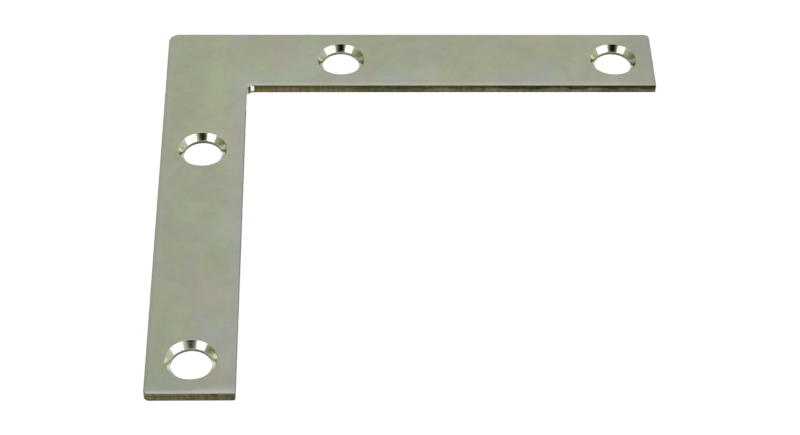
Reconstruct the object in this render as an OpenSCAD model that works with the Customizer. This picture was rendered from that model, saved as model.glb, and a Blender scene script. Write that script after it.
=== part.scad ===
// Flat corner brace: an L-shaped flat plate, sheared from steel sheet and countersunk for
// four wood screws. It lies on its flat underside. The origin is on the underside, where
// the centrelines of the two arms cross, with one arm along +X and the other along -Y.

/* [Plate] */
// Length of each arm, measured along its outer edge from the corner
arm_len = 100; // [80:1:200]
// Width of each arm
arm_w = 16.4; // [14:0.1:30]
// Thickness of the sheet
plate_t = 2; // [1.4:0.1:4]

/* [Corners] */
// Radius of the outer corner
outer_corner_r = 2.1; // [0.5:0.1:6]
// Radius of the fillet in the inner corner
inner_corner_r = 1.5; // [0.5:0.1:6]
// Radius at the end of each arm, on its outer edge
end_outer_r = 1; // [0.3:0.1:4]
// Radius at the end of each arm, on its inner edge
end_inner_r = 0.4; // [0.3:0.1:4]

/* [Sheared edge] */
// Width of the rolled-over band that shearing leaves along the upper edge
roll_w = 1.1; // [0.8:0.05:2]
// Drop from the top face to the foot of the rolled-over band
roll_drop = 0.4; // [0.3:0.01:0.6]
// Radius of the tight turn from the band into the sheared wall
roll_r = 0.28; // [0.1:0.01:0.29]
// Break of the lower edge
lower_break = 0.08; // [0.02:0.01:0.3]

/* [Screw holes] */
// Diameter of the clearance hole below the countersink
hole_d = 7.6; // [3:0.1:7.8]
// Diameter of the countersink at the top face
sink_d = 9.6; // [8:0.1:11]
// Angle between opposite sides of the countersink
sink_angle = 75; // [70:1:120]
// Distance from the brace's outer edge to the hole nearer the corner
near_hole_at = 35.6; // [26:0.1:50]
// Distance from the end of the arm to the other hole
end_hole_inset = 8.2; // [7:0.1:15]

/* [Hidden] */
$fn = 96;

// How far a cut runs past the surface that it starts from
over = 0.5;
half_w = arm_w / 2;
// Place of an arm's end, from the crossing of the centrelines
arm_end = arm_len - half_w;
// Depth of the countersink, from its rim down to the clearance hole
sink_depth = (sink_d - hole_d) / 2 / tan(sink_angle / 2);
// Places of the holes along each arm, from the crossing of the centrelines
hole_places = [near_hole_at - half_w, arm_end - end_hole_inset];

// The rolled-over band is a shallow arc, tangent to the top face, that runs into a tight
// arc, tangent to the wall. The shallow arc's radius follows from where the two arcs touch.
shallow_run = roll_w - roll_r;
shallow_r = (pow(shallow_run, 2) + pow(roll_drop, 2) - pow(roll_r, 2)) / (2 * (roll_drop - roll_r));

// Corners of the outline, anticlockwise: [place, radius], with a negative radius inside the L
corners = [
    [[-half_w, half_w], outer_corner_r],
    [[-half_w, -arm_end], end_outer_r],
    [[half_w, -arm_end], end_inner_r],
    [[half_w, -half_w], -inner_corner_r],
    [[arm_end, -half_w], end_inner_r],
    [[arm_end, half_w], end_outer_r],
];

function corner(i) = corners[i % len(corners)];
function toward(angle) = [cos(angle), sin(angle)];
// Angle that the edge after corner i faces, away from the plate
function facing(i) = let (run = corner(i + 1)[0] - corner(i)[0]) atan2(run.y, run.x) - 90;
// Length that a straight cut leaves off at a corner: the fillet inside the L. At the
// other corners it is negative, because the cut runs past them.
function left_off(c) = c[1] < 0 ? -c[1] : -over;

// Sheet with sharp corners, and a square of metal in the inner corner for the fillet
module blank() {
    linear_extrude(plate_t) {
        polygon([for (c = corners) c[0]]);
        translate([half_w, -half_w - inner_corner_r])
            square(inner_corner_r);
    }
}

// Section of the metal that stays along an edge: the wall is x = 0, and the metal is at x < 0
module edge_section() {
    shallow_centre = [-roll_w, plate_t - shallow_r];
    tight_centre = [-roll_r, plate_t - roll_drop];
    past_both = shallow_centre + 2 * (tight_centre - shallow_centre);
    intersection() {
        translate(shallow_centre)
            circle(shallow_r);
        polygon([shallow_centre, past_both, [-roll_w, past_both.y]]);
    }
    translate(tight_centre)
        circle(roll_r);
    polygon([
        [-roll_w, -over],
        [-lower_break - over, -over],
        [0, lower_break],
        [0, plate_t - roll_drop],
        tight_centre,
        [-roll_w, plate_t - roll_drop],
    ]);
}

// Section of the waste beyond an edge, which reaches as far out as it is told
module waste_section(reach) {
    difference() {
        translate([-roll_w, -over])
            square([roll_w + reach, plate_t + 2 * over]);
        edge_section();
    }
}

// Waste along the straight edge between corner i and the next one
module straight_waste(i) {
    start = corner(i);
    stop = corner(i + 1);
    length = norm(stop[0] - start[0]) - left_off(start) - left_off(stop);
    run = toward(facing(i) + 90);
    translate(stop[0] - left_off(stop) * run)
        rotate([90, 0, facing(i)])
            linear_extrude(length)
                waste_section(over);
}

// Waste round an outside corner, centred on the origin, over the quarter from +X to +Y
module outside_turn(radius) {
    rotate_extrude(angle = 90)
        intersection() {
            translate([radius, 0])
                waste_section(radius);
            translate([0, -over])
                square([2 * radius, plate_t + 2 * over]);
        }
}

// Waste inside a fillet, centred on the origin, over the quarter from +X to +Y
module inside_turn(radius) {
    rotate_extrude(angle = 90)
        mirror([1, 0])
            translate([-radius, 0])
                waste_section(radius);
}

// Waste round corner i, which gives the outline its radius there
module corner_waste(i) {
    before = facing(i + len(corners) - 1);
    after = facing(i);
    radius = corner(i)[1];
    translate(corner(i)[0] - radius * (toward(before) + toward(after)))
        if (radius > 0)
            rotate(before)
                outside_turn(radius);
        else
            rotate(after + 180)
                inside_turn(-radius);
}

// Clearance hole with its countersink, centred on the origin
module screw_hole() {
    translate([0, 0, -over])
        cylinder(d = hole_d, h = plate_t + 2 * over);
    translate([0, 0, plate_t - sink_depth])
        cylinder(d1 = hole_d, d2 = sink_d + 2 * over * tan(sink_angle / 2), h = sink_depth + over);
}

// Holes along the arm that follows +X
module arm_holes() {
    for (place = hole_places)
        translate([place, 0])
            screw_hole();
}

module corner_brace() {
    color([0.61, 0.63, 0.55])
        difference() {
            blank();
            for (i = [0 : len(corners) - 1]) {
                straight_waste(i);
                corner_waste(i);
            }
            arm_holes();
            mirror([1, 1, 0])
                arm_holes();
        }
}

corner_brace();
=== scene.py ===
"""Looks of a flat corner brace: sheared steel plate, zinc plated, with bright countersinks.

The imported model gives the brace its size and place. This script replaces its plain plate
with one modelled to the last rolled edge, dresses it in its five finishes, and stands it
in a plain studio.
"""

import logging
import math
from dataclasses import dataclass
from enum import IntEnum
from typing import NamedTuple, Sequence

import bmesh
import bpy
from bmesh.types import BMEdge, BMesh, BMFace, BMVert
from mathutils import Matrix, Vector, noise

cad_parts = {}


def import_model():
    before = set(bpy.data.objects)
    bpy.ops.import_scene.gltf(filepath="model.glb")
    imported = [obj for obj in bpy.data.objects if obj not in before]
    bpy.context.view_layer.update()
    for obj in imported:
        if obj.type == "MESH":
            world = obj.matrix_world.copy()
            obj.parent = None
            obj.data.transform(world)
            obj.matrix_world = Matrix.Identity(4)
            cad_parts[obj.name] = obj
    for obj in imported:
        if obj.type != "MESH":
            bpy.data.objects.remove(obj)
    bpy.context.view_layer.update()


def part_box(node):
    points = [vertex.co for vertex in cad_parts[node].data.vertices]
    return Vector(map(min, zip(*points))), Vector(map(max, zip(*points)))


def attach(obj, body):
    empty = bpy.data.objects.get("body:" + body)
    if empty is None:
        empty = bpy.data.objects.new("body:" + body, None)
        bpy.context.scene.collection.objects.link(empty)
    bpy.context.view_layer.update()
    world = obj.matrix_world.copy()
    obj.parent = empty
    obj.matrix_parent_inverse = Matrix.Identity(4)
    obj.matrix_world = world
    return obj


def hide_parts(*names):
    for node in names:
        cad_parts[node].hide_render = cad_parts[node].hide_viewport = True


LOG = logging.getLogger("corner_brace")

MM = 0.001
TINY = 1e-6 * MM
NODE = "corner_brace"
BODY = "root"
PLATE_NAME = "brace_plate"

Color = tuple[float, float, float]
Triple = tuple[float, float, float]
Point = tuple[float, float]
Span = tuple[float, float]
Socket = bpy.types.NodeSocket
Sockets = bpy.types.bpy_prop_collection


class Finish(IntEnum):
    """Material slots of the plate, in order."""

    FACE = 0
    SHEARED = 1
    COUNTERSINK = 2
    LAND = 3
    # Pale glossy finish of the inner fillet's painted highlight
    RUBBED = 4


def linear(red: int, green: int, blue: int) -> Color:
    """Turns a display colour into the linear one that the shaders work in.

    Args:
        red: Red, from 0 to 255.
        green: Green, from 0 to 255.
        blue: Blue, from 0 to 255.

    Returns:
        The linear colour.
    """

    def channel(value: int) -> float:
        """Undoes the display curve of one channel."""
        share = value / 255
        return share / 12.92 if share <= 0.04045 else ((share + 0.055) / 1.055) ** 2.4

    return channel(red), channel(green), channel(blue)


# -------------------------------------------------------------------------- materials


class Ramp(NamedTuple):
    """A smooth change of a value between two places, level before and after them."""

    low: float
    high: float
    to_low: float = 0.0
    to_high: float = 1.0


class Waves(NamedTuple):
    """A noise pattern: waves in a metre, octaves, share of the finer ones, and its mapping."""

    scale: float
    detail: float = 3.0
    roughness: float = 0.5
    stretch: Triple = (1.0, 1.0, 1.0)
    shift: Triple = (0.0, 0.0, 0.0)


class Graph:
    """Short way to add and link the nodes of a material, a world or a node group."""

    noise_range = (0.3, 0.7)

    def __init__(self, tree: bpy.types.NodeTree) -> None:
        """Takes the node tree that the nodes go into."""
        self.tree = tree

    def add(self, kind: str, **settings: object) -> bpy.types.Node:
        """Adds a node.

        Args:
            kind: Blender's name for the node, without ShaderNode.
            settings: Properties of the node, by name.

        Returns:
            The node.
        """
        node = self.tree.nodes.new(kind if kind.startswith("Node") else "ShaderNode" + kind)
        for name, value in settings.items():
            setattr(node, name, value)
        return node

    def feed(self, node: bpy.types.Node, **inputs: object) -> bpy.types.Node:
        """Links or sets a node's inputs.

        Args:
            node: The node to feed.
            inputs: Value or output socket for each input, with _ for a space in its name.

        Returns:
            The same node.
        """
        for name, value in inputs.items():
            self.plug(node.inputs[name.replace("_", " ")], value)
        return node

    def plug(self, socket: Socket, value: object) -> None:
        """Links an output socket to an input socket, or sets the input to a value."""
        if isinstance(value, Socket):
            self.tree.links.new(value, socket)
        elif isinstance(value, tuple) and socket.type == "RGBA":
            socket.default_value = (*value, 1.0)
        else:
            socket.default_value = value

    def axes(self, vector: object) -> tuple[Socket, ...]:
        """Splits a vector and gives its X, Y and Z."""
        return tuple(self.feed(self.add("SeparateXYZ"), Vector=vector).outputs)

    def mapped(self, vector: object, **change: Triple) -> Socket:
        """Moves, turns or scales coordinates by a Location, Rotation or Scale."""
        return self.feed(self.add("Mapping"), Vector=vector, **change).outputs[0]

    def math(self, operation: str, first: object, second: object = 0.0) -> Socket:
        """Adds a Math node.

        Args:
            operation: Blender's name for the operation.
            first: First value or socket.
            second: Second value or socket.

        Returns:
            The result's socket.
        """
        node = self.add("Math", operation=operation)
        self.plug(node.inputs[0], first)
        self.plug(node.inputs[1], second)
        return node.outputs[0]

    def product(self, first: object, *others: object) -> Socket:
        """Multiplies values."""
        for value in others:
            first = self.math("MULTIPLY", first, value)
        return first

    def remap(
        self, value: object, low: object, high: object, to_low: object, to_high: object
    ) -> Socket:
        """Changes a value smoothly between two places, as a Ramp says."""
        node = self.add("MapRange", interpolation_type="SMOOTHSTEP")
        self.feed(node, Value=value, From_Min=low, From_Max=high, To_Min=to_low, To_Max=to_high)
        return node.outputs["Result"]

    def spread(self, pattern: object, to_low: float, to_high: float) -> Socket:
        """Spreads the usual values of a noise pattern over a range."""
        return self.remap(pattern, *self.noise_range, to_low, to_high)

    def band(self, value: object, start: Ramp, stop: Ramp) -> Socket:
        """Makes a mask that comes in over one ramp and goes out over another."""
        return self.product(self.remap(value, *start), self.remap(value, *stop))

    def mix(self, factor: object, first: object, second: object) -> Socket:
        """Mixes two colours."""
        return self._blend("MIX", factor, first, second)

    def times(self, color: object, factor: object) -> Socket:
        """Multiplies a colour by a value."""
        return self._blend("MULTIPLY", 1.0, color, factor)

    def _blend(self, kind: str, *values: object) -> Socket:
        """Adds a colour Mix node with its factor and two colours, and gives its output."""
        node = self.add("Mix", data_type="RGBA", blend_type=kind)
        for socket, value in zip((node.inputs[0], *node.inputs[6:8]), values):
            self.plug(socket, value)
        return node.outputs[2]

    def noise(
        self, vector: object, scale: object, detail: float = 3.0, roughness: float = 0.5
    ) -> Socket:
        """Adds noise, as Waves says, with values near 0.5."""
        node = self.add("TexNoise", noise_dimensions="3D")
        self.feed(node, Vector=vector, Scale=scale, Detail=detail, Roughness=roughness)
        return node.outputs[0]

    def bump(self, height: object, strength: float, depth: float) -> Socket:
        """Bends the normal by a relief, whose height is a share of its depth."""
        node = self.add("Bump")
        return self.feed(node, Strength=strength, Distance=depth, Height=height).outputs[0]


class EffectGroup:
    """A shader node group that the finishes share."""

    name = "effect"
    inputs: dict[str, str] = {}
    outputs: dict[str, str] = {}

    def tree(self) -> bpy.types.NodeTree:
        """Gives the group's node tree, and builds it the first time."""
        known = bpy.data.node_groups.get(self.name)
        if known:
            return known
        tree = bpy.data.node_groups.new(self.name, "ShaderNodeTree")
        for in_out, sockets in (("INPUT", self.inputs), ("OUTPUT", self.outputs)):
            for socket_name, kind in sockets.items():
                tree.interface.new_socket(
                    socket_name, in_out=in_out, socket_type="NodeSocket" + kind
                )
        graph = Graph(tree)
        entry = graph.add("NodeGroupInput").outputs
        leave = graph.add("NodeGroupOutput").inputs
        for socket_name, result in self.build(graph, entry).items():
            graph.plug(leave[socket_name], result)
        return tree

    def build(self, graph: Graph, entry: Sockets) -> dict[str, Socket]:
        """Builds the group's nodes.

        Args:
            graph: Graph of the group's tree.
            entry: The group's inputs, by name.

        Returns:
            The socket for each of the group's outputs.
        """
        raise NotImplementedError

    def place(self, graph: Graph, **inputs: object) -> Sockets:
        """Places the group in a material, and gives its outputs by name."""
        return graph.feed(graph.add("Group", node_tree=self.tree()), **inputs).outputs


class PassivateFilm(EffectGroup):
    """Faint patches of colour in the passivate film over zinc."""

    name = "passivate_film"
    inputs = {"Vector": "Vector", "Base": "Color", "Amount": "Float", "Patches": "Float"}
    outputs = {"Color": "Color"}
    tints = (
        ((0.0, 0.0, 0.0), linear(186, 212, 178), 1.0),
        ((0.11, 0.07, 0.0), linear(212, 197, 186), 0.9),
        ((-0.06, 0.19, 0.0), linear(192, 202, 204), 0.9),
        ((0.23, -0.15, 0.0), linear(208, 210, 160), 0.9),
    )
    detail = 2.5
    roughness = 0.45
    patch_span = (0.52, 0.72)

    def build(self, graph: Graph, entry: Sockets) -> dict[str, Socket]:
        """Builds the group's nodes: each tint has its own patches.

        Args:
            graph: Graph of the group's tree.
            entry: The group's inputs, by name.

        Returns:
            The socket for each of the group's outputs.
        """
        color = entry["Base"]
        for move, tint, share in self.tints:
            place = graph.mapped(entry["Vector"], Location=move)
            patches = graph.noise(place, entry["Patches"], self.detail, self.roughness)
            mask = graph.remap(patches, *self.patch_span, 0.0, share)
            color = graph.mix(graph.product(mask, entry["Amount"]), color, tint)
        return {"Color": color}


class EdgeDistance(EffectGroup):
    """Distances on the L from its sheared edges, from its inner edges and from its ends."""

    name = "edge_distance"
    inputs = {"Vector": "Vector", "Half Width": "Float", "Arm End": "Float"}
    outputs = {"Any Edge": "Float", "Inner Edge": "Float", "End": "Float"}

    def build(self, graph: Graph, entry: Sockets) -> dict[str, Socket]:
        """Builds the group's nodes.

        Args:
            graph: Graph of the group's tree.
            entry: The group's inputs, by name.

        Returns:
            The socket for each of the group's outputs.
        """
        half, end = entry["Half Width"], entry["Arm End"]
        x, y, _ = graph.axes(entry["Vector"])
        inner = graph.math("MAXIMUM", graph.math("SUBTRACT", half, x), graph.math("ADD", y, half))
        tip = graph.math("MINIMUM", graph.math("SUBTRACT", end, x), graph.math("ADD", y, end))
        outer = graph.math("MINIMUM", graph.math("ADD", x, half), graph.math("SUBTRACT", half, y))
        nearest = graph.math("MINIMUM", graph.math("MINIMUM", inner, tip), outer)
        return {"Any Edge": nearest, "Inner Edge": inner, "End": tip}


class SatinGrain(EffectGroup):
    """Fine grain of plated sheet: a close stipple with a trace of the rolling direction."""

    name = "satin_grain"
    inputs = {"Vector": "Vector", "Waves": "Float"}
    outputs = {"Height": "Float", "Mask": "Float"}
    rolling = (1.0, 9.0, 1.0)
    line_waves = 0.25
    line_height = 0.5

    def build(self, graph: Graph, entry: Sockets) -> dict[str, Socket]:
        """Builds the group's nodes.

        Args:
            graph: Graph of the group's tree.
            entry: The group's inputs, by name.

        Returns:
            The socket for each of the group's outputs.
        """
        vector, waves = entry["Vector"], entry["Waves"]
        stipple = graph.noise(vector, waves, detail=4.0, roughness=0.6)
        along = graph.mapped(vector, Scale=self.rolling)
        lines = graph.noise(along, graph.product(waves, self.line_waves), roughness=0.6)
        height = graph.math("ADD", stipple, graph.product(lines, self.line_height))
        return {"Height": height, "Mask": stipple}


class FineScratches(EffectGroup):
    """Sparse hairline scratches from handling."""

    name = "fine_scratches"
    inputs = {"Vector": "Vector", "Waves": "Float"}
    outputs = {"Mask": "Float"}
    families = ((0.5, (1.0, 26.0, 1.0)), (-0.9, (1.0, 32.0, 1.0)))
    only_peaks = Ramp(0.70, 0.78)

    def build(self, graph: Graph, entry: Sockets) -> dict[str, Socket]:
        """Builds the group's nodes: two families of lines at different angles.

        Args:
            graph: Graph of the group's tree.
            entry: The group's inputs, by name.

        Returns:
            The socket for each of the group's outputs.
        """
        total = 0.0
        for turn, stretch in self.families:
            turned = graph.mapped(entry["Vector"], Rotation=(0.0, 0.0, turn))
            along = graph.mapped(turned, Scale=stretch)
            lines = graph.noise(along, entry["Waves"], detail=1.0)
            total = graph.math("MAXIMUM", total, graph.remap(lines, *self.only_peaks))
        return {"Mask": total}


PASSIVATE_FILM = PassivateFilm()
EDGE_DISTANCE = EdgeDistance()
SATIN_GRAIN = SatinGrain()
FINE_SCRATCHES = FineScratches()


class MetalGraph(Graph):
    """Graph of a metal's material, with the piece's own coordinates at hand."""

    def __init__(self, name: str) -> None:
        """Starts the material.

        Args:
            name: Name of the material.
        """
        self.material = bpy.data.materials.new(name)
        self.material.use_nodes = True
        super().__init__(self.material.node_tree)
        self.place = self.add("TexCoord").outputs["Object"]
        self.x, self.y, self.z = self.axes(self.place)

    def pattern(self, waves: Waves) -> Socket:
        """Lays a noise pattern over the piece."""
        place = self.mapped(self.place, Location=waves.shift, Scale=waves.stretch)
        return self.noise(place, waves.scale, waves.detail, waves.roughness)

    def finish(self, **inputs: object) -> bpy.types.Material:
        """Feeds the shader, and gives the material."""
        self.feed(self.tree.nodes["Principled BSDF"], Metallic=1.0, **inputs)
        return self.material


class Coating:
    """A finish that builds its own material."""

    def build(self) -> bpy.types.Material:
        """Builds the material."""
        raise NotImplementedError


@dataclass(frozen=True)
class ZincFace(Coating):
    """Satin zinc of the plate's faces, under a thin olive passivate.

    The passivate is worn through in a fine line along every edge, and in a broader band along
    the inner edges and the near arm's end, whose foot has a brighter band of painted light.
    The face is painted lighter by the inner edges and darker towards the arms' ends and the near
    end, as painted shade. The rolled edge has a tone of its own, which is cooler on the inside of
    the near arm.
    """

    half_w: float
    arm_end: float
    name: str = "zinc_face"
    color: Color = linear(192, 197, 171)
    bare: Color = linear(199, 199, 192)
    roll: Color = linear(196, 195, 171)
    inner_roll: Color = linear(200, 202, 202)
    # Painted light: the brighter colour of the band at the near arm's end
    foot: Color = linear(214, 218, 205)
    patches: float = 75.0
    patch_amount: float = 0.5
    small_patches: float = 330.0
    small_patch_amount: float = 0.3
    small_patch_shift: Triple = (0.31, 0.17, 0.0)
    grain: float = 2600.0
    roughness: Span = (0.32, 0.37)
    scratches: float = 140.0
    scratch_gloss: float = 0.03
    bump: float = 0.02
    bump_depth: float = 0.1 * MM
    line_in: Ramp = Ramp(0.3 * MM, 0.9 * MM, 0.05, 0.5)
    line_out: Ramp = Ramp(0.9 * MM, 1.7 * MM, 1.0, 0.0)
    band_in: Ramp = Ramp(0.3 * MM, 1.3 * MM, 0.05, 0.55)
    band_out: Ramp = Ramp(1.5 * MM, 3.6 * MM, 1.0, 0.0)
    roll_fade: Ramp = Ramp(0.3 * MM, 0.8 * MM, 0.7, 0.0)
    inner_roll_in: Ramp = Ramp(0.0, 6.0 * MM)
    inner_roll_out: Ramp = Ramp(9.0 * MM, 14.0 * MM, 1.0, 0.0)
    foot_from: float = 0.4 * MM
    foot_reach: Ramp = Ramp(-1.0 * MM, 5.0 * MM, 0.7 * MM, 2.6 * MM)
    foot_light_amount: float = 0.8
    clouds: Waves = Waves(150.0, 3.0, 0.6)
    cloud_shade: Span = (-0.03, 0.03)
    mottle: Waves = Waves(720.0, 2.0, 0.6, shift=(0.13, 0.29, 0.0))
    mottle_shade: Span = (-0.02, 0.02)
    grain_shade: Span = (0.98, 1.02)
    # Painted shade: lighter by the inner edges, darker towards the arms' ends and towards the near
    # end
    inner_shade: Ramp = Ramp(2.0 * MM, 12.0 * MM, 1.01, 0.985)
    end_shade: Ramp = Ramp(2.0 * MM, 9.0 * MM, 0.93, 1.0)
    near_shade: Ramp = Ramp(-85.0 * MM, 0.0, 0.965, 1.03)

    def build(self) -> bpy.types.Material:
        """Builds the material."""
        metal = MetalGraph(self.name)
        grain = SATIN_GRAIN.place(metal, Vector=metal.place, Waves=self.grain)
        edges = EDGE_DISTANCE.place(
            metal, Vector=metal.place, Half_Width=self.half_w, Arm_End=self.arm_end
        )
        above_foot = metal.math("ADD", metal.y, self.arm_end)
        inside = metal.math("MINIMUM", edges["Inner Edge"], above_foot)
        line = metal.band(edges["Any Edge"], self.line_in, self.line_out)
        worn = metal.math("MAXIMUM", line, metal.band(inside, self.band_in, self.band_out))
        color = metal.mix(worn, self._film(metal), self.bare)
        by_inner = metal.band(metal.x, self.inner_roll_in, self.inner_roll_out)
        rolled = metal.remap(edges["Any Edge"], *self.roll_fade)
        color = metal.mix(rolled, color, metal.mix(by_inner, self.roll, self.inner_roll))
        # Painted light: a brighter band at the near arm's end, reaching further in on its inner
        # side
        reach = metal.remap(metal.x, *self.foot_reach)
        bright = metal.remap(above_foot, self.foot_from, reach, self.foot_light_amount, 0.0)
        color = metal.mix(bright, color, self.foot)
        # Random mottling, times painted shade by the inner edges, the arms' ends and the near end
        shade = metal.product(
            self._mottling(metal, grain["Mask"]),
            metal.remap(edges["Inner Edge"], *self.inner_shade),
            metal.remap(edges["End"], *self.end_shade),
            metal.remap(metal.y, *self.near_shade),
        )
        scratches = FINE_SCRATCHES.place(metal, Vector=metal.place, Waves=self.scratches)
        gloss = metal.product(scratches["Mask"], self.scratch_gloss)
        return metal.finish(
            Base_Color=metal.times(color, shade),
            Roughness=metal.math("SUBTRACT", metal.spread(grain["Mask"], *self.roughness), gloss),
            Normal=metal.bump(grain["Height"], self.bump, self.bump_depth),
        )

    def _film(self, metal: MetalGraph) -> Socket:
        """Gives the film's colour: broad patches with small ones over them."""
        color = self.color
        for shift, amount, patches in (
            ((0.0, 0.0, 0.0), self.patch_amount, self.patches),
            (self.small_patch_shift, self.small_patch_amount, self.small_patches),
        ):
            place = metal.mapped(metal.place, Location=shift)
            film = PASSIVATE_FILM.place(
                metal, Vector=place, Base=color, Amount=amount, Patches=patches
            )
            color = film["Color"]
        return color

    def _mottling(self, metal: MetalGraph, grain: Socket) -> Socket:
        """Gives the shade of the clouds, the mottle and the grain together.

        Args:
            metal: Graph of the material.
            grain: Mask of the satin grain.

        Returns:
            The factor's socket, near 1.
        """
        clouds = metal.spread(metal.pattern(self.clouds), *self.cloud_shade)
        mottle = metal.spread(metal.pattern(self.mottle), *self.mottle_shade)
        shade = metal.math("ADD", clouds, metal.spread(grain, *self.grain_shade))
        return metal.math("ADD", shade, mottle)


@dataclass(frozen=True)
class ShearedSteel(Coating):
    """Cut wall of the sheet: burnished under the rolled edge and torn below it.

    Its colours are painted shade, far darker than steel: the smooth burnished part is painted
    darkest and the rough torn part lighter. Along the far arm the burnished part is painted darker
    still, and then the torn part paler. By the corner and by the near arm's end the wall is golden
    low down, and painted pale above that at the end. Stains, pits and upright die marks run over
    the whole of it.
    """

    name: str = "sheared_edge_painted_shade"
    # Painted shade: the wall's colours are far darker than steel, the burnished part darkest and
    # the torn part lighter
    burnished: Color = linear(66, 66, 42)
    torn: Color = linear(118, 117, 93)
    gold: Color = linear(104, 99, 50)
    stain: Color = linear(98, 82, 48)
    torn_below: Ramp = Ramp(0.77 * MM, 1.17 * MM, 1.0, 0.0)
    wander: Waves = Waves(260.0, 2.0)
    wander_height: Span = (-0.25 * MM, 0.25 * MM)
    speckle: Waves = Waves(2400.0, 4.0, 0.65)
    speckle_share: Span = (0.45, 1.0)
    # Painted shade along the far arm: the burnished part darker, then the torn part painted paler
    far_shade: Ramp = Ramp(46.0 * MM, 62.0 * MM, 1.0, 0.5)
    far_painted_pale: Ramp = Ramp(60.0 * MM, 78.0 * MM, 0.0, 0.35)
    gold_by_corner: Ramp = Ramp(12.0 * MM, 45.0 * MM, 0.5, 0.0)
    gold_by_end: Ramp = Ramp(-80.0 * MM, -60.0 * MM, 0.55, 0.0)
    gold_height: Ramp = Ramp(0.8 * MM, 1.3 * MM, 1.0, 0.2)
    # Painted light: the top of the wall is paler at the near arm's end
    pale_height: Ramp = Ramp(1.42 * MM, 1.6 * MM, 0.2, 1.5)
    stains: Waves = Waves(420.0, 3.0, 0.6, stretch=(1.0, 1.0, 1.6))
    stain_share: Ramp = Ramp(0.52, 0.66, 0.0, 0.32)
    pits: Waves = Waves(700.0, 3.0, 0.6, stretch=(1.0, 1.0, 1.6), shift=(0.2, 0.1, 0.0))
    pit_share: Ramp = Ramp(0.5, 0.66, 0.0, 0.55)
    marks: Waves = Waves(1500.0, 2.0, stretch=(1.0, 1.0, 0.05))
    mark_shade: Ramp = Ramp(0.35, 0.65, 0.84, 1.18)
    drift: Waves = Waves(55.0, 2.0)
    drift_shade: Ramp = Ramp(0.4, 0.6, 0.78, 1.1)
    strokes: Waves = Waves(5200.0, 2.0, stretch=(1.0, 1.0, 0.08))
    stroke_height: float = 0.6
    roughness: Ramp = Ramp(0.0, 1.0, 0.38, 0.6)
    bump: float = 0.35
    bump_depth: float = 0.05 * MM

    def build(self) -> bpy.types.Material:
        """Builds the material."""
        metal = MetalGraph(self.name)
        wander = metal.spread(metal.pattern(self.wander), *self.wander_height)
        below = metal.remap(metal.math("ADD", metal.z, wander), *self.torn_below)
        speckle = metal.pattern(self.speckle)
        torn = metal.product(below, metal.spread(speckle, *self.speckle_share))
        strokes = metal.product(metal.pattern(self.strokes), self.stroke_height)
        relief = metal.math("ADD", speckle, strokes)
        return metal.finish(
            Base_Color=self._tarnish(metal, self._base_tone(metal, below, torn)),
            Roughness=metal.remap(below, *self.roughness),
            Normal=metal.bump(relief, self.bump, self.bump_depth),
        )

    def _base_tone(self, metal: MetalGraph, below: Socket, torn: Socket) -> Socket:
        """Gives the painted shade of the burnished and the torn part, along and up the wall.

        Args:
            metal: Graph of the material.
            below: Mask of the torn part.
            torn: The same mask, broken up by the speckle.

        Returns:
            The colour's socket.
        """
        # Painted shade: the wall's dark colours, darker along the far arm and paler low there, with
        # a painted pale top by the near end
        color = metal.times(self.burnished, metal.remap(metal.x, *self.far_shade))
        color = metal.mix(torn, color, self.torn)
        far_pale = metal.product(metal.remap(metal.x, *self.far_painted_pale), below)
        color = metal.mix(far_pale, color, self.torn)
        by_corner = metal.remap(metal.x, *self.gold_by_corner)
        by_end = metal.remap(metal.y, *self.gold_by_end)
        low = metal.remap(metal.z, *self.gold_height)
        golden = metal.product(metal.math("MAXIMUM", by_corner, by_end), low)
        color = metal.mix(golden, color, self.gold)
        pale = metal.product(by_end, metal.remap(metal.z, *self.pale_height))
        return metal.mix(pale, color, self.torn)

    def _tarnish(self, metal: MetalGraph, color: Socket) -> Socket:
        """Lays stains, pits, upright die marks and a slow drift of tone over a colour.

        Args:
            metal: Graph of the material.
            color: The colour's socket.

        Returns:
            The new colour's socket.
        """
        stains = metal.remap(metal.pattern(self.stains), *self.stain_share)
        color = metal.mix(stains, color, self.stain)
        pits = metal.remap(metal.pattern(self.pits), *self.pit_share)
        color = metal.mix(pits, color, self.burnished)
        marks = metal.remap(metal.pattern(self.marks), *self.mark_shade)
        drift = metal.remap(metal.pattern(self.drift), *self.drift_shade)
        return metal.times(color, metal.product(marks, drift))


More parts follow.
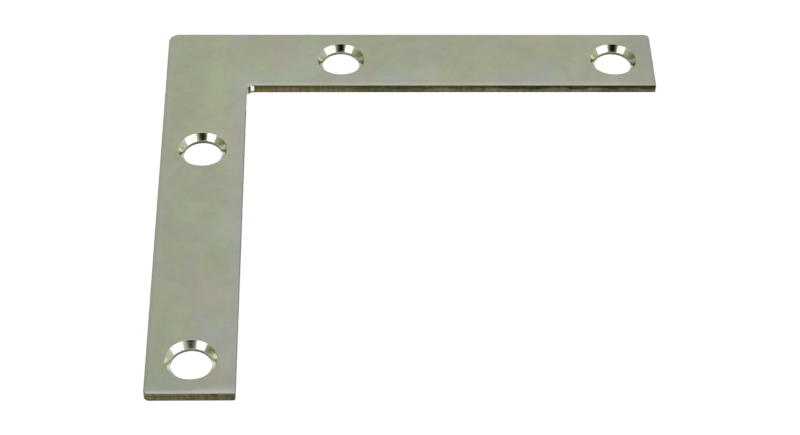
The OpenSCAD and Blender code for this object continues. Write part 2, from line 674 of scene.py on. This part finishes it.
@dataclass(frozen=True)
class CoinedSink(Coating):
    """Bright coined countersink wall, with tool chatter and painted light on the near arm."""

    name: str = "coined_countersink"
    color: Color = linear(223, 225, 205)
    # Painted shade: this tint dims the countersink's grazing reflections, for the shade on the
    # floor under the hole that they show
    grazing_shade_tint: Color = (0.39, 0.40, 0.34)
    # Painted light: the countersinks' colour is made lighter on the near arm
    near_painted_glow: Ramp = Ramp(-30.0 * MM, -8.0 * MM, 1.15, 1.0)
    patches: float = 420.0
    patch_amount: float = 0.3
    grain: float = 1500.0
    roughness: float = 0.09
    grain_roughness: float = 0.07
    chatter: float = 4.0
    least_chatter: float = 0.1
    chatter_span: Span = (-60.0 * MM, -10.0 * MM)
    chatter_roughness: float = 0.004
    rings: Waves = Waves(1100.0, 3.0, 0.6, stretch=(1.0, 1.0, 8.0))
    bump: float = 0.04
    bump_depth: float = 0.1 * MM

    def build(self) -> bpy.types.Material:
        """Builds the material."""
        metal = MetalGraph(self.name)
        place = metal.place
        film = PASSIVATE_FILM.place(
            metal, Vector=place, Base=self.color, Amount=self.patch_amount, Patches=self.patches
        )
        near_light = metal.remap(metal.y, *self.near_painted_glow)
        grain = SATIN_GRAIN.place(metal, Vector=place, Waves=self.grain)
        chatter = metal.remap(metal.y, *self.chatter_span, self.chatter, self.least_chatter)
        rings = metal.product(metal.pattern(self.rings), chatter)
        relief = metal.math("ADD", grain["Height"], rings)
        rough = metal.spread(grain["Mask"], self.roughness, self.roughness + self.grain_roughness)
        return metal.finish(
            Base_Color=metal.times(film["Color"], near_light),
            Roughness=metal.math("ADD", rough, metal.product(chatter, self.chatter_roughness)),
            Specular_Tint=self.grazing_shade_tint,
            Normal=metal.bump(relief, self.bump, self.bump_depth),
        )


# --------------------------------------------------------------------------- geometry


@dataclass(frozen=True)
class RolledEdge:
    """Section of the plate's upper edge, as shearing rolls it over.

    A shallow arc leaves the top face and runs into a tight arc, which ends on the wall.
    """

    width: float = 1.1 * MM
    drop: float = 0.4 * MM
    tight_r: float = 0.28 * MM
    steep_tilt: float = math.radians(37)
    tight_steps: int = 8
    shallow_steps: int = 7

    @property
    def shallow_r(self) -> float:
        """Radius of the shallow arc, from where the two arcs touch."""
        run = self.width - self.tight_r
        squares = run**2 + self.drop**2 - self.tight_r**2
        return squares / (2 * (self.drop - self.tight_r))

    @property
    def meeting_angle(self) -> float:
        """Angle above the horizontal at which the tight arc hands over to the shallow one."""
        return math.atan2(self.shallow_r - self.drop, self.width - self.tight_r)

    def depth_at(self, inset: float) -> float:
        """Gives how far the section lies below the top face.

        Args:
            inset: Distance in from the wall.

        Returns:
            The depth below the top face.
        """
        handover = self.width - self.shallow_r * math.cos(self.meeting_angle)
        if inset >= handover:
            reach = min(self.width - inset, self.shallow_r)
            return self.shallow_r - math.sqrt(self.shallow_r**2 - max(reach, 0.0) ** 2)
        reach = self.tight_r - inset
        return self.drop - math.sqrt(self.tight_r**2 - reach**2)

    @property
    def steep_inset(self) -> float:
        """Distance in from the wall at which the roll stops being rubbed by the die."""
        return self.tight_r * (1 - math.sin(self.steep_tilt))

    def insets(self) -> list[float]:
        """Lists the distances in from the wall at which the section has a point."""
        tight = [
            self.tight_r * (1 - math.cos(self.meeting_angle * step / self.tight_steps))
            for step in range(1, self.tight_steps + 1)
        ]
        left = math.pi / 2 - self.meeting_angle
        shallow = [
            self.width
            - self.shallow_r * math.cos(self.meeting_angle + left * step / self.shallow_steps)
            for step in range(1, self.shallow_steps + 1)
        ]
        return tight + shallow


@dataclass(frozen=True)
class ScrewHole:
    """Clearance hole with a countersink, turned as one section about its axis."""

    hole_r: float = 3.8 * MM
    sink_r: float = 4.8 * MM
    slope: float = math.radians(37.5)
    rim_r: float = 0.12 * MM
    throat_r: float = 0.08 * MM
    lower_break: float = 0.05 * MM
    support: float = 0.3 * MM
    turns: int = 128
    sink_rows: int = 5
    land_rows: int = 4
    arc_steps: int = 3

    def section(self, thickness: float) -> list[tuple[Point, Finish]]:
        """Lists the section's points from the top face down to the underside.

        Args:
            thickness: Thickness of the plate.

        Returns:
            Each point as radius and height, with the finish of the band that ends there.
        """
        sink_depth = (self.sink_r - self.hole_r) / math.tan(self.slope)
        throat = thickness - sink_depth
        points: list[tuple[Point, Finish]] = [
            ((self.sink_r + self.support, thickness), Finish.FACE)
        ]
        rim_turn = math.pi / 2 - self.slope
        rim_run = self.rim_r * math.tan(rim_turn / 2)
        for step in range(self.arc_steps + 1):
            turn = rim_turn * step / self.arc_steps
            radius = self.sink_r + rim_run - self.rim_r * math.sin(turn)
            height = thickness - self.rim_r * (1 - math.cos(turn))
            points.append(((radius, height), Finish.FACE))
        throat_run = self.throat_r * math.tan(self.slope / 2)
        top_radius, top_height = points[-1][0]
        foot = (
            self.hole_r + throat_run * math.sin(self.slope),
            throat + throat_run * math.cos(self.slope),
        )
        for row in range(1, self.sink_rows + 1):
            share = row / self.sink_rows
            radius = top_radius + (foot[0] - top_radius) * share
            height = top_height + (foot[1] - top_height) * share
            points.append(((radius, height), Finish.COUNTERSINK))
        for step in range(1, self.arc_steps + 1):
            turn = self.slope * (1 - step / self.arc_steps)
            radius = self.hole_r + self.throat_r * (1 - math.cos(turn))
            height = throat - throat_run + self.throat_r * math.sin(turn)
            points.append(((radius, height), Finish.COUNTERSINK))
        land_top = points[-1][0][1]
        for row in range(1, self.land_rows + 1):
            share = row / self.land_rows
            height = land_top + (self.lower_break - land_top) * share
            points.append(((self.hole_r, height), Finish.LAND))
        points.append(((self.hole_r + self.lower_break, 0.0), Finish.LAND))
        points.append(((self.sink_r + self.support, 0.0), Finish.FACE))
        return points

    def build(self, thickness: float) -> bpy.types.Mesh:
        """Turns the hole about the origin.

        Args:
            thickness: Thickness of the plate.

        Returns:
            The hole's mesh, open at its two outer rings.
        """
        section = self.section(thickness)
        bm = bmesh.new()
        line = [bm.verts.new((radius, 0, height)) for (radius, height), _ in section]
        edges = [bm.edges.new(pair) for pair in zip(line, line[1:])]
        bmesh.ops.spin(
            bm,
            geom=[*line, *edges],
            cent=(0, 0, 0),
            axis=(0, 0, 1),
            dvec=(0, 0, 0),
            angle=math.tau,
            steps=self.turns,
            use_merge=True,
            use_duplicate=False,
        )
        for face in bm.faces:
            face.material_index = self._finish_of(face, section)
        mesh = bpy.data.meshes.new("screw_hole")
        bm.to_mesh(mesh)
        bm.free()
        return mesh

    @staticmethod
    def open_in(bm: BMesh, hole: bpy.types.Mesh, centre: Vector) -> list[BMEdge]:
        """Adds a copy of the hole to a mesh.

        Args:
            bm: Mesh that the hole joins.
            hole: The hole's mesh.
            centre: Place of the hole's axis.

        Returns:
            The edges of its two outer rings.
        """
        known = len(bm.verts)
        bm.from_mesh(hole)
        bm.verts.ensure_lookup_table()
        added = bm.verts[known:]
        bmesh.ops.translate(bm, verts=added, vec=centre)
        rims = [edge for vert in added for edge in vert.link_edges if edge.is_boundary]
        return list(dict.fromkeys(rims))

    @staticmethod
    def _finish_of(face: BMFace, section: Sequence[tuple[Point, Finish]]) -> int:
        """Finds the finish of a spun face from the nearest part of the section.

        Args:
            face: The spun face.
            section: The section's points and finishes.

        Returns:
            The finish's place among the material slots.
        """
        middle = face.calc_center_median()
        here = Vector((middle.xy.length, middle.z))
        best, finish = math.inf, Finish.FACE
        for (start, _), (stop, band) in zip(section, section[1:]):
            gap = ((Vector(start) + Vector(stop)) / 2 - here).length
            if gap < best:
                best, finish = gap, band
        return int(finish)


@dataclass(frozen=True)
class Corner:
    """A rounded corner of the outline, with the direction from it into the plate."""

    x: float
    y: float
    radius: float
    inward: tuple[int, int]

    @property
    def centre(self) -> Vector:
        """Centre of the corner's arc."""
        across, along = self.inward
        return Vector((self.x + across * self.radius, self.y + along * self.radius, 0))


@dataclass
class BracePlate:
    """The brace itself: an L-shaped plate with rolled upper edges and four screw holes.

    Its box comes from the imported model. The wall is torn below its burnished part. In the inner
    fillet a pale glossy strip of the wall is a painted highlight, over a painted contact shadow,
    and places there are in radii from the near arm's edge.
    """

    low: Vector
    high: Vector
    edge: RolledEdge = RolledEdge()
    hole: ScrewHole = ScrewHole()
    outer_corner_r: float = 2.1 * MM
    inner_corner_r: float = 1.5 * MM
    end_outer_r: float = 1.0 * MM
    end_inner_r: float = 0.4 * MM
    near_hole_at: float = 35.6 * MM
    end_hole_inset: float = 8.2 * MM
    lower_break: float = 0.08 * MM
    support: float = 0.3 * MM
    column: float = 0.5 * MM
    corner_steps: int = 10
    wall_rows: int = 12
    merge_share: float = 0.08
    least_closing_sides: int = 100
    sliver: float = 0.005 * MM
    burnish: float = 0.55 * MM
    tear_depth: float = 0.05 * MM
    tear_size: float = 0.9 * MM
    tear_waves: float = 1.7
    tear_falloff: float = 0.8
    tear_step: float = 2.0
    tear_octaves: int = 4
    tear_fade: float = 0.3 * MM
    tear_above: float = 0.12 * MM
    wall_lean: float = 0.3
    # Painted highlight and contact shadow in the inner fillet: where the highlight starts across it
    # and how high it reaches
    highlight_from: float = 0.56
    highlight_above: float = 0.45 * MM
    plated_until: float = 0.16
    plated_along: float = 5.0

    @property
    def thickness(self) -> float:
        """Thickness of the plate."""
        return self.high.z - self.low.z

    @property
    def half_w(self) -> float:
        """Half of an arm's width: the arms' centrelines cross at the origin."""
        return -self.low.x

    @property
    def arm_end(self) -> float:
        """Place of an arm's end, from the crossing of the centrelines."""
        return self.high.x

    def corners(self) -> list[Corner]:
        """Lists the outline's corners anticlockwise."""
        half, end = self.half_w, self.arm_end
        return [
            Corner(-half, half, self.outer_corner_r, (1, -1)),
            Corner(-half, -end, self.end_outer_r, (1, 1)),
            Corner(half, -end, self.end_inner_r, (-1, 1)),
            Corner(half, -half, self.inner_corner_r, (1, -1)),
            Corner(end, -half, self.end_inner_r, (-1, 1)),
            Corner(end, half, self.end_outer_r, (-1, -1)),
        ]

    def hole_centres(self) -> list[Vector]:
        """Lists the holes' places on the underside."""
        places = (self.near_hole_at - self.half_w, self.arm_end - self.end_hole_inset)
        along_x = [Vector((place, 0, 0)) for place in places]
        along_y = [Vector((0, -place, 0)) for place in places]
        return along_x + along_y

    def build(self) -> bpy.types.Object:
        """Models the plate.

        Returns:
            The finished object, with its place in its mesh.
        """
        bm = bmesh.new()
        top = self._outline(bm)
        bottom = self._wall(bm, top)
        top = self._roll_upper_edge(bm, top)
        bottom = self._inset(bm, bottom, 0.0, self.lower_break, self.lower_break, Finish.SHEARED)
        bottom = self._inset(bm, bottom, self.lower_break, self.lower_break + self.support, 0.0)
        self._pierce(bm, top, bottom)
        bmesh.ops.dissolve_degenerate(bm, dist=self.sliver, edges=bm.edges)
        bmesh.ops.recalc_face_normals(bm, faces=bm.faces)
        self._paint_inner_fillet_light(bm)
        self._tear_wall(bm)
        return self._finish_mesh(bm)

    def dress(self, plate: bpy.types.Object) -> None:
        """Gives the plate its materials, in the order of Finish."""
        coats = self.coats()
        for finish in Finish:
            plate.data.materials.append(coats[finish].build())

    def coats(self) -> dict[Finish, Coating]:
        """Gives the coating of each finish."""
        # Painted shade: the bore of each hole is given dark tones, like the sheared wall's
        land_tone = linear(122, 121, 98)
        return {
            Finish.FACE: ZincFace(self.half_w, self.arm_end),
            Finish.SHEARED: ShearedSteel(),
            Finish.COUNTERSINK: CoinedSink(),
            Finish.LAND: ShearedSteel(
                name="hole_land_painted_shade",
                burnished=land_tone,
                torn=linear(140, 138, 118),
                gold=land_tone,
                stain=land_tone,
            ),
            # Painted highlight: a pale, glossy strip in the inner fillet
            Finish.RUBBED: CoinedSink(
                name="fillet_painted_highlight",
                color=linear(238, 240, 226),
                grazing_shade_tint=(1.0, 1.0, 1.0),
                roughness=0.12,
                chatter=0.0,
            ),
        }

    def _outline(self, bm: BMesh) -> BMFace:
        """Makes the face of the outline at the top of the wall.

        Args:
            bm: Mesh that the face joins.

        Returns:
            The face, with rounded corners and its long sides cut into columns.
        """
        height = self.thickness - self.edge.drop
        verts = [bm.verts.new((corner.x, corner.y, height)) for corner in self.corners()]
        sides = [bm.edges.new(pair) for pair in zip(verts, verts[1:] + verts[:1])]
        bmesh.ops.contextual_create(bm, geom=sides)
        for vert, corner in zip(verts, self.corners()):
            bmesh.ops.bevel(
                bm,
                geom=[vert],
                offset=corner.radius,
                offset_type="OFFSET",
                segments=self.corner_steps,
                profile=0.5,
                affect="VERTICES",
                material=-1,
            )
        for edge in [edge for edge in bm.edges if edge.calc_length() > self.half_w]:
            self._cut_columns(bm, edge)
        bm.faces.ensure_lookup_table()
        bm.normal_update()
        if bm.faces[0].normal.z < 0:
            bm.faces[0].normal_flip()
        return bm.faces[0]

    def _cut_columns(self, bm: BMesh, edge: BMEdge) -> None:
        """Cuts a long side into columns, clear of the corners that the insets move along it.

        Args:
            bm: Mesh that holds the side.
            edge: The side.
        """
        clear = self.edge.width + self.support - self.end_inner_r + self.column / 2
        for end in tuple(edge.verts):
            bmesh.utils.edge_split(edge, end, clear / edge.calc_length())
        cuts = round(edge.calc_length() / self.column) - 1
        bmesh.ops.subdivide_edges(bm, edges=[edge], cuts=cuts)

    def _wall(self, bm: BMesh, top: BMFace) -> BMFace:
        """Drops the sheared wall from the outline, row by row.

        Args:
            bm: Mesh that the wall joins.
            top: Face of the outline.

        Returns:
            The face that closes the wall's foot.
        """
        height = self.thickness - self.edge.drop - self.lower_break
        edges = list(top.edges)
        for _ in range(self.wall_rows):
            made = bmesh.ops.extrude_edge_only(bm, edges=edges)["geom"]
            verts = [item for item in made if isinstance(item, BMVert)]
            edges = [item for item in made if isinstance(item, BMEdge)]
            for face in (item for item in made if isinstance(item, BMFace)):
                face.material_index = Finish.SHEARED
            bmesh.ops.translate(bm, verts=verts, vec=(0, 0, -height / self.wall_rows))
        return bmesh.ops.contextual_create(bm, geom=edges)["faces"][0]

    def _inset(
        self,
        bm: BMesh,
        face: BMFace,
        start: float,
        stop: float,
        rise: float,
        finish: Finish = Finish.FACE,
    ) -> BMFace:
        """Insets a face, and closes each rounded corner that the inset uses up.

        Args:
            bm: Mesh that holds the face.
            face: Face to inset.
            start: Inset that the face already has from the wall.
            stop: Inset that it gets.
            rise: How far it moves out along its normal on the way.
            finish: Finish of the new band.

        Returns:
            The inset face.
        """
        used_up = {corner.radius for corner in self.corners() if start < corner.radius < stop}
        for target in sorted({*used_up, stop}):
            step = rise * (target - start) / (stop - start)
            made = bmesh.ops.inset_region(
                bm,
                faces=[face],
                use_boundary=True,
                use_even_offset=True,
                thickness=target - start,
                depth=step,
            )["faces"]
            for band in made:
                band.material_index = finish
            rise -= step
            start = target
            face = self._close_corners(bm, face, target)
        return face

    def _close_corners(self, bm: BMesh, face: BMFace, inset: float) -> BMFace:
        """Merges each rounded corner that an inset has just used up into one vertex.

        Args:
            bm: Mesh that holds the face.
            face: The inset face.
            inset: The inset that it has from the wall.

        Returns:
            The face, which the merging may have made anew.
        """
        height = face.verts[0].co.z
        for corner in self.corners():
            if abs(corner.radius - inset) > TINY:
                continue
            centre = corner.centre + Vector((0, 0, height))
            reach = self.merge_share * corner.radius
            near = [vert for vert in face.verts if (vert.co - centre).length < reach]
            bmesh.ops.pointmerge(bm, verts=near, merge_co=centre)
            face = self._closing_face(bm, height)
        return face

    def _closing_face(self, bm: BMesh, height: float) -> BMFace:
        """Finds the many-sided face that closes the plate at a height."""
        closing = [face for face in bm.faces if len(face.verts) > self.least_closing_sides]
        return min(closing, key=lambda face: abs(face.verts[0].co.z - height))

    def _roll_upper_edge(self, bm: BMesh, face: BMFace) -> BMFace:
        """Rolls the upper edge over, and leaves a flat support band inside it.

        Args:
            bm: Mesh that holds the face.
            face: Face of the outline.

        Returns:
            The flat face inside the support band.
        """
        done, depth = 0.0, self.edge.drop
        used_up = [corner.radius for corner in self.corners() if corner.radius < self.edge.width]
        for stop in sorted({*self.edge.insets(), *used_up}):
            new_depth = self.edge.depth_at(stop)
            steep = stop < self.edge.steep_inset + TINY
            finish = Finish.SHEARED if steep else Finish.FACE
            face = self._inset(bm, face, done, stop, depth - new_depth, finish)
            done, depth = stop, new_depth
        return self._inset(bm, face, done, done + self.support, 0.0)

    def _pierce(self, bm: BMesh, top: BMFace, bottom: BMFace) -> None:
        """Opens the screw holes through the two flat faces.

        Args:
            bm: Mesh that holds the faces.
            top: Flat face on top.
            bottom: Flat face underneath.
        """
        rings = [*top.edges, *bottom.edges]
        bmesh.ops.delete(bm, geom=[top, bottom], context="FACES_ONLY")
        hole = self.hole.build(self.thickness)
        for centre in self.hole_centres():
            rings += self.hole.open_in(bm, hole, centre)
        bpy.data.meshes.remove(hole)
        for side in (1, -1):
            level = self.thickness * (side > 0)
            edges = [edge for edge in rings if abs(edge.verts[0].co.z - level) < self.thickness / 2]
            bmesh.ops.triangle_fill(
                bm, use_beauty=True, use_dissolve=False, edges=edges, normal=(0, 0, side)
            )

    def _paint_inner_fillet_light(self, bm: BMesh) -> None:
        """Paints light and shade on the inner fillet's wall with finishes: a pale glossy strip high
        up as a painted highlight, the land's darker finish under it as a painted contact shadow,
        and the face's finish by the near arm's edge, there and on the roll beside it.

        Args:
            bm: Mesh of the plate, with its finishes.
        """
        reach = self.inner_corner_r
        for face in bm.faces:
            middle = face.calc_center_median()
            across = (middle.x - self.half_w) / reach
            along = (-self.half_w - middle.y) / reach
            on_roll = middle.z > self.thickness - self.edge.drop
            beside = on_roll and abs(across) < self.plated_until and 0 < along < self.plated_along
            in_fillet = 0 < across < 1 and 0 < along < 1
            if face.material_index != Finish.SHEARED or not (in_fillet or beside):
                continue
            # Painted highlight high on the fillet's wall
            if across > self.highlight_from and middle.z > self.highlight_above:
                face.material_index = Finish.RUBBED
            # Painted contact shadow: the land's darker finish low on the fillet's wall
            elif across > self.highlight_from:
                face.material_index = Finish.LAND
            elif across < self.plated_until:
                face.material_index = Finish.FACE

    def _tear_wall(self, bm: BMesh) -> None:
        """Roughens the torn lower part of the sheared wall, always inwards.

        Args:
            bm: Mesh of the plate, with its finishes.
        """
        bm.normal_update()
        burnish_foot = self.thickness - self.edge.drop - self.burnish
        torn = [
            vert
            for vert in bm.verts
            if self.tear_above < vert.co.z < burnish_foot
            and all(face.material_index == Finish.SHEARED for face in vert.link_faces)
            and all(abs(face.normal.z) < self.wall_lean for face in vert.link_faces)
            and not self._in_hole(vert)
        ]
        moves = {}
        for vert in torn:
            place = vert.co / self.tear_size * self.tear_waves
            tear = noise.fractal(place, self.tear_falloff, self.tear_step, self.tear_octaves)
            depth = self.tear_depth * max(0.0, min(1.0, 0.5 + 0.5 * tear))
            fade = min(1.0, (burnish_foot - vert.co.z) / self.tear_fade)
            outward = Vector((vert.normal.x, vert.normal.y, 0)).normalized()
            moves[vert] = -outward * depth * fade
        for vert, move in moves.items():
            vert.co += move

    def _in_hole(self, vert: BMVert) -> bool:
        """Tells whether a vertex belongs to a screw hole."""
        reach = self.hole.sink_r + self.hole.support + self.sliver
        return any((vert.co - centre).xy.length < reach for centre in self.hole_centres())

    def _finish_mesh(self, bm: BMesh) -> bpy.types.Object:
        """Writes the mesh to a new object, shaded smooth.

        Args:
            bm: The modelled mesh, which is freed.

        Returns:
            The object.
        """
        for face in bm.faces:
            face.smooth = True
        self._put_in_order(bm)
        mesh = bpy.data.meshes.new(PLATE_NAME)
        bm.to_mesh(mesh)
        bm.free()
        plate = bpy.data.objects.new(PLATE_NAME, mesh)
        bpy.context.scene.collection.objects.link(plate)
        return plate

    @staticmethod
    def _put_in_order(bm: BMesh) -> None:
        """Lists the vertices, edges and faces by place, so that each run lists them alike.

        Args:
            bm: The modelled mesh.
        """
        for elements, place in (
            (bm.verts, lambda vert: vert.co[:]),
            (bm.edges, lambda edge: (edge.verts[0].co + edge.verts[1].co)[:]),
            (bm.faces, lambda face: face.calc_center_median()[:]),
        ):
            for rank, element in enumerate(sorted(elements, key=place)):
                element.index = rank
            elements.sort()


# ----------------------------------------------------------------------------- studio


@dataclass(frozen=True)
class Softbox:
    """A soft lamp that faces the brace."""

    name: str
    azimuth: float
    width: float
    height: float = 0.6
    elevation: float = 27.0
    radiance: float = 1.05
    distance: float = 1.2

    def build(self, aim: Vector) -> None:
        """Places the lamp.

        Args:
            aim: Point that the lamp faces.
        """
        lamp = bpy.data.lights.new(self.name, "AREA")
        lamp.shape = "RECTANGLE"
        lamp.size, lamp.size_y = self.width, self.height
        lamp.energy = self.radiance * self.width * self.height * math.pi
        lamp_object = bpy.data.objects.new(self.name, lamp)
        turn, tilt = math.radians(self.azimuth), math.radians(self.elevation)
        away = Vector(
            (math.sin(turn) * math.cos(tilt), -math.cos(turn) * math.cos(tilt), math.sin(tilt))
        )
        lamp_object.location = aim + away * self.distance
        lamp_object.rotation_euler = away.to_track_quat("Z", "Y").to_euler()
        lamp_object.visible_camera = False
        bpy.context.scene.collection.objects.link(lamp_object)


@dataclass(frozen=True)
class Studio:
    """Plain pale floor, a soft dome and two soft lamps beside the camera.

    The dome's low sides have tones of their own. Its ramps run over the height, or over the
    place to the side or to the back, of a direction of length 1.
    """

    floor_size: float = 8.0
    floor_gap: float = 0.02 * MM
    floor_color: Color = (0.86, 0.86, 0.86)
    floor_lift: float = 0.64
    zenith: Color = (0.83, 0.83, 0.82)
    middle: Color = (0.61, 0.61, 0.61)
    horizon: Color = (0.40, 0.40, 0.38)
    far_horizon: Color = (0.58, 0.58, 0.58)
    left_horizon: Color = (0.18, 0.195, 0.094)
    right_horizon: Color = (0.55, 0.57, 0.56)
    rise: Ramp = Ramp(0.15, 0.6)
    top: Ramp = Ramp(0.7, 1.0)
    back: Ramp = Ramp(0.3, 0.8)
    left_side: Ramp = Ramp(-0.9, -0.5, 1.0, 0.0)
    right_side: Ramp = Ramp(0.5, 0.9)
    lamps: tuple[Softbox, ...] = (
        Softbox("left_softbox", azimuth=-45.0, width=0.76),
        Softbox("right_softbox", azimuth=60.0, width=1.1),
    )
    dark_elevation: float = 38.0
    dark_inside: float = 2.0
    dark_outside: float = 26.0
    dark_color: Color = (0.0, 0.0, 0.0)

    def build(self, aim: Vector) -> None:
        """Builds the studio round a point.

        Args:
            aim: Point that the lamps face.
        """
        self._floor()
        self._dome()
        for lamp in self.lamps:
            lamp.build(aim)

    def _floor(self) -> None:
        """Lays the floor."""
        bm = bmesh.new()
        bmesh.ops.create_grid(bm, x_segments=1, y_segments=1, size=self.floor_size / 2)
        bmesh.ops.translate(bm, verts=bm.verts, vec=(0, 0, -self.floor_gap))
        mesh = bpy.data.meshes.new("studio_floor")
        bm.to_mesh(mesh)
        bm.free()
        floor = bpy.data.objects.new("studio_floor", mesh)
        bpy.context.scene.collection.objects.link(floor)
        material = bpy.data.materials.new("studio_floor")
        material.use_nodes = True
        material.node_tree.nodes.clear()
        graph = Graph(material.node_tree)
        matt = graph.feed(graph.add("BsdfDiffuse"), Color=self.floor_color)
        path = graph.add("LightPath")
        seen = graph.math("MAXIMUM", path.outputs["Is Camera Ray"], path.outputs["Is Glossy Ray"])
        seen = graph.math("MAXIMUM", seen, path.outputs["Is Transmission Ray"])
        lift = graph.feed(graph.add("Emission"), Strength=graph.product(seen, self.floor_lift))
        both = graph.add("AddShader")
        graph.plug(both.inputs[0], matt.outputs[0])
        graph.plug(both.inputs[1], lift.outputs[0])
        graph.feed(graph.add("OutputMaterial"), Surface=both.outputs[0])
        mesh.materials.append(material)

    def _dome(self) -> None:
        """Lights the scene all round, with the dark of the room behind the camera."""
        world = bpy.data.worlds.new("studio_dome")
        bpy.context.scene.world = world
        world.use_nodes = True
        world.node_tree.nodes.clear()
        graph = Graph(world.node_tree)
        direction = graph.add("TexCoord").outputs["Generated"]
        x, y, z = graph.axes(direction)
        low = graph.mix(graph.remap(y, *self.back), self.horizon, self.far_horizon)
        low = graph.mix(graph.remap(x, *self.left_side), low, self.left_horizon)
        low = graph.mix(graph.remap(x, *self.right_side), low, self.right_horizon)
        dome = graph.mix(graph.remap(z, *self.rise), low, self.middle)
        dome = graph.mix(graph.remap(z, *self.top), dome, self.zenith)
        tilt = math.radians(self.dark_elevation)
        toward = graph.add("VectorMath", operation="DOT_PRODUCT")
        graph.plug(toward.inputs[0], direction)
        graph.plug(toward.inputs[1], Vector((0.0, -math.cos(tilt), math.sin(tilt))))
        inside = math.cos(math.radians(self.dark_inside))
        outside = math.cos(math.radians(self.dark_outside))
        dark = graph.remap(toward.outputs["Value"], outside, inside, 0.0, 1.0)
        color = graph.mix(dark, dome, self.dark_color)
        backdrop = graph.feed(graph.add("Background"), Color=color, Strength=1.0)
        graph.feed(graph.add("OutputWorld"), Surface=backdrop.outputs[0])


@dataclass(frozen=True)
class Shot:
    """The camera: a long lens looking down at the brace from in front of it."""

    place: Triple = (25.13 * MM, -371.25 * MM, 315.73 * MM)
    pitch: float = 44.028
    yaw: float = 2.360
    roll: float = 1.536
    lens: float = 105.96
    sensor: float = 36.0
    clip_start: float = 10.0 * MM

    def build(self) -> None:
        """Places the camera and makes it the scene's own."""
        pitch, yaw, roll = (math.radians(angle) for angle in (self.pitch, self.yaw, self.roll))
        forward = Vector(
            (math.sin(yaw) * math.cos(pitch), math.cos(yaw) * math.cos(pitch), -math.sin(pitch))
        )
        level = Vector((math.cos(yaw), -math.sin(yaw), 0))
        upright = level.cross(forward)
        right = math.cos(roll) * level + math.sin(roll) * upright
        up = math.cos(roll) * upright - math.sin(roll) * level
        axes = Matrix((right, up, -forward)).transposed()
        data = bpy.data.cameras.new("camera")
        data.sensor_fit = "HORIZONTAL"
        data.sensor_width = self.sensor
        data.lens = self.lens
        data.clip_start = self.clip_start
        camera = bpy.data.objects.new("camera", data)
        camera.matrix_world = Matrix.Translation(self.place) @ axes.to_4x4()
        bpy.context.scene.collection.objects.link(camera)
        bpy.context.scene.camera = camera


def main() -> None:
    """Builds the camera, the plate and the studio, in that order."""
    logging.basicConfig(level=logging.INFO, format="%(name)s: %(message)s")
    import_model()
    bpy.context.scene.view_settings.view_transform = "Standard"
    Shot().build()
    low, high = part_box(NODE)
    brace = BracePlate(low, high)
    plate = brace.build()
    brace.dress(plate)
    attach(plate, BODY)
    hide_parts(NODE)
    LOG.info("%s: %d faces", plate.name, len(plate.data.polygons))
    Studio().build((low + high) / 2)


if __name__ == "__main__":
    main()
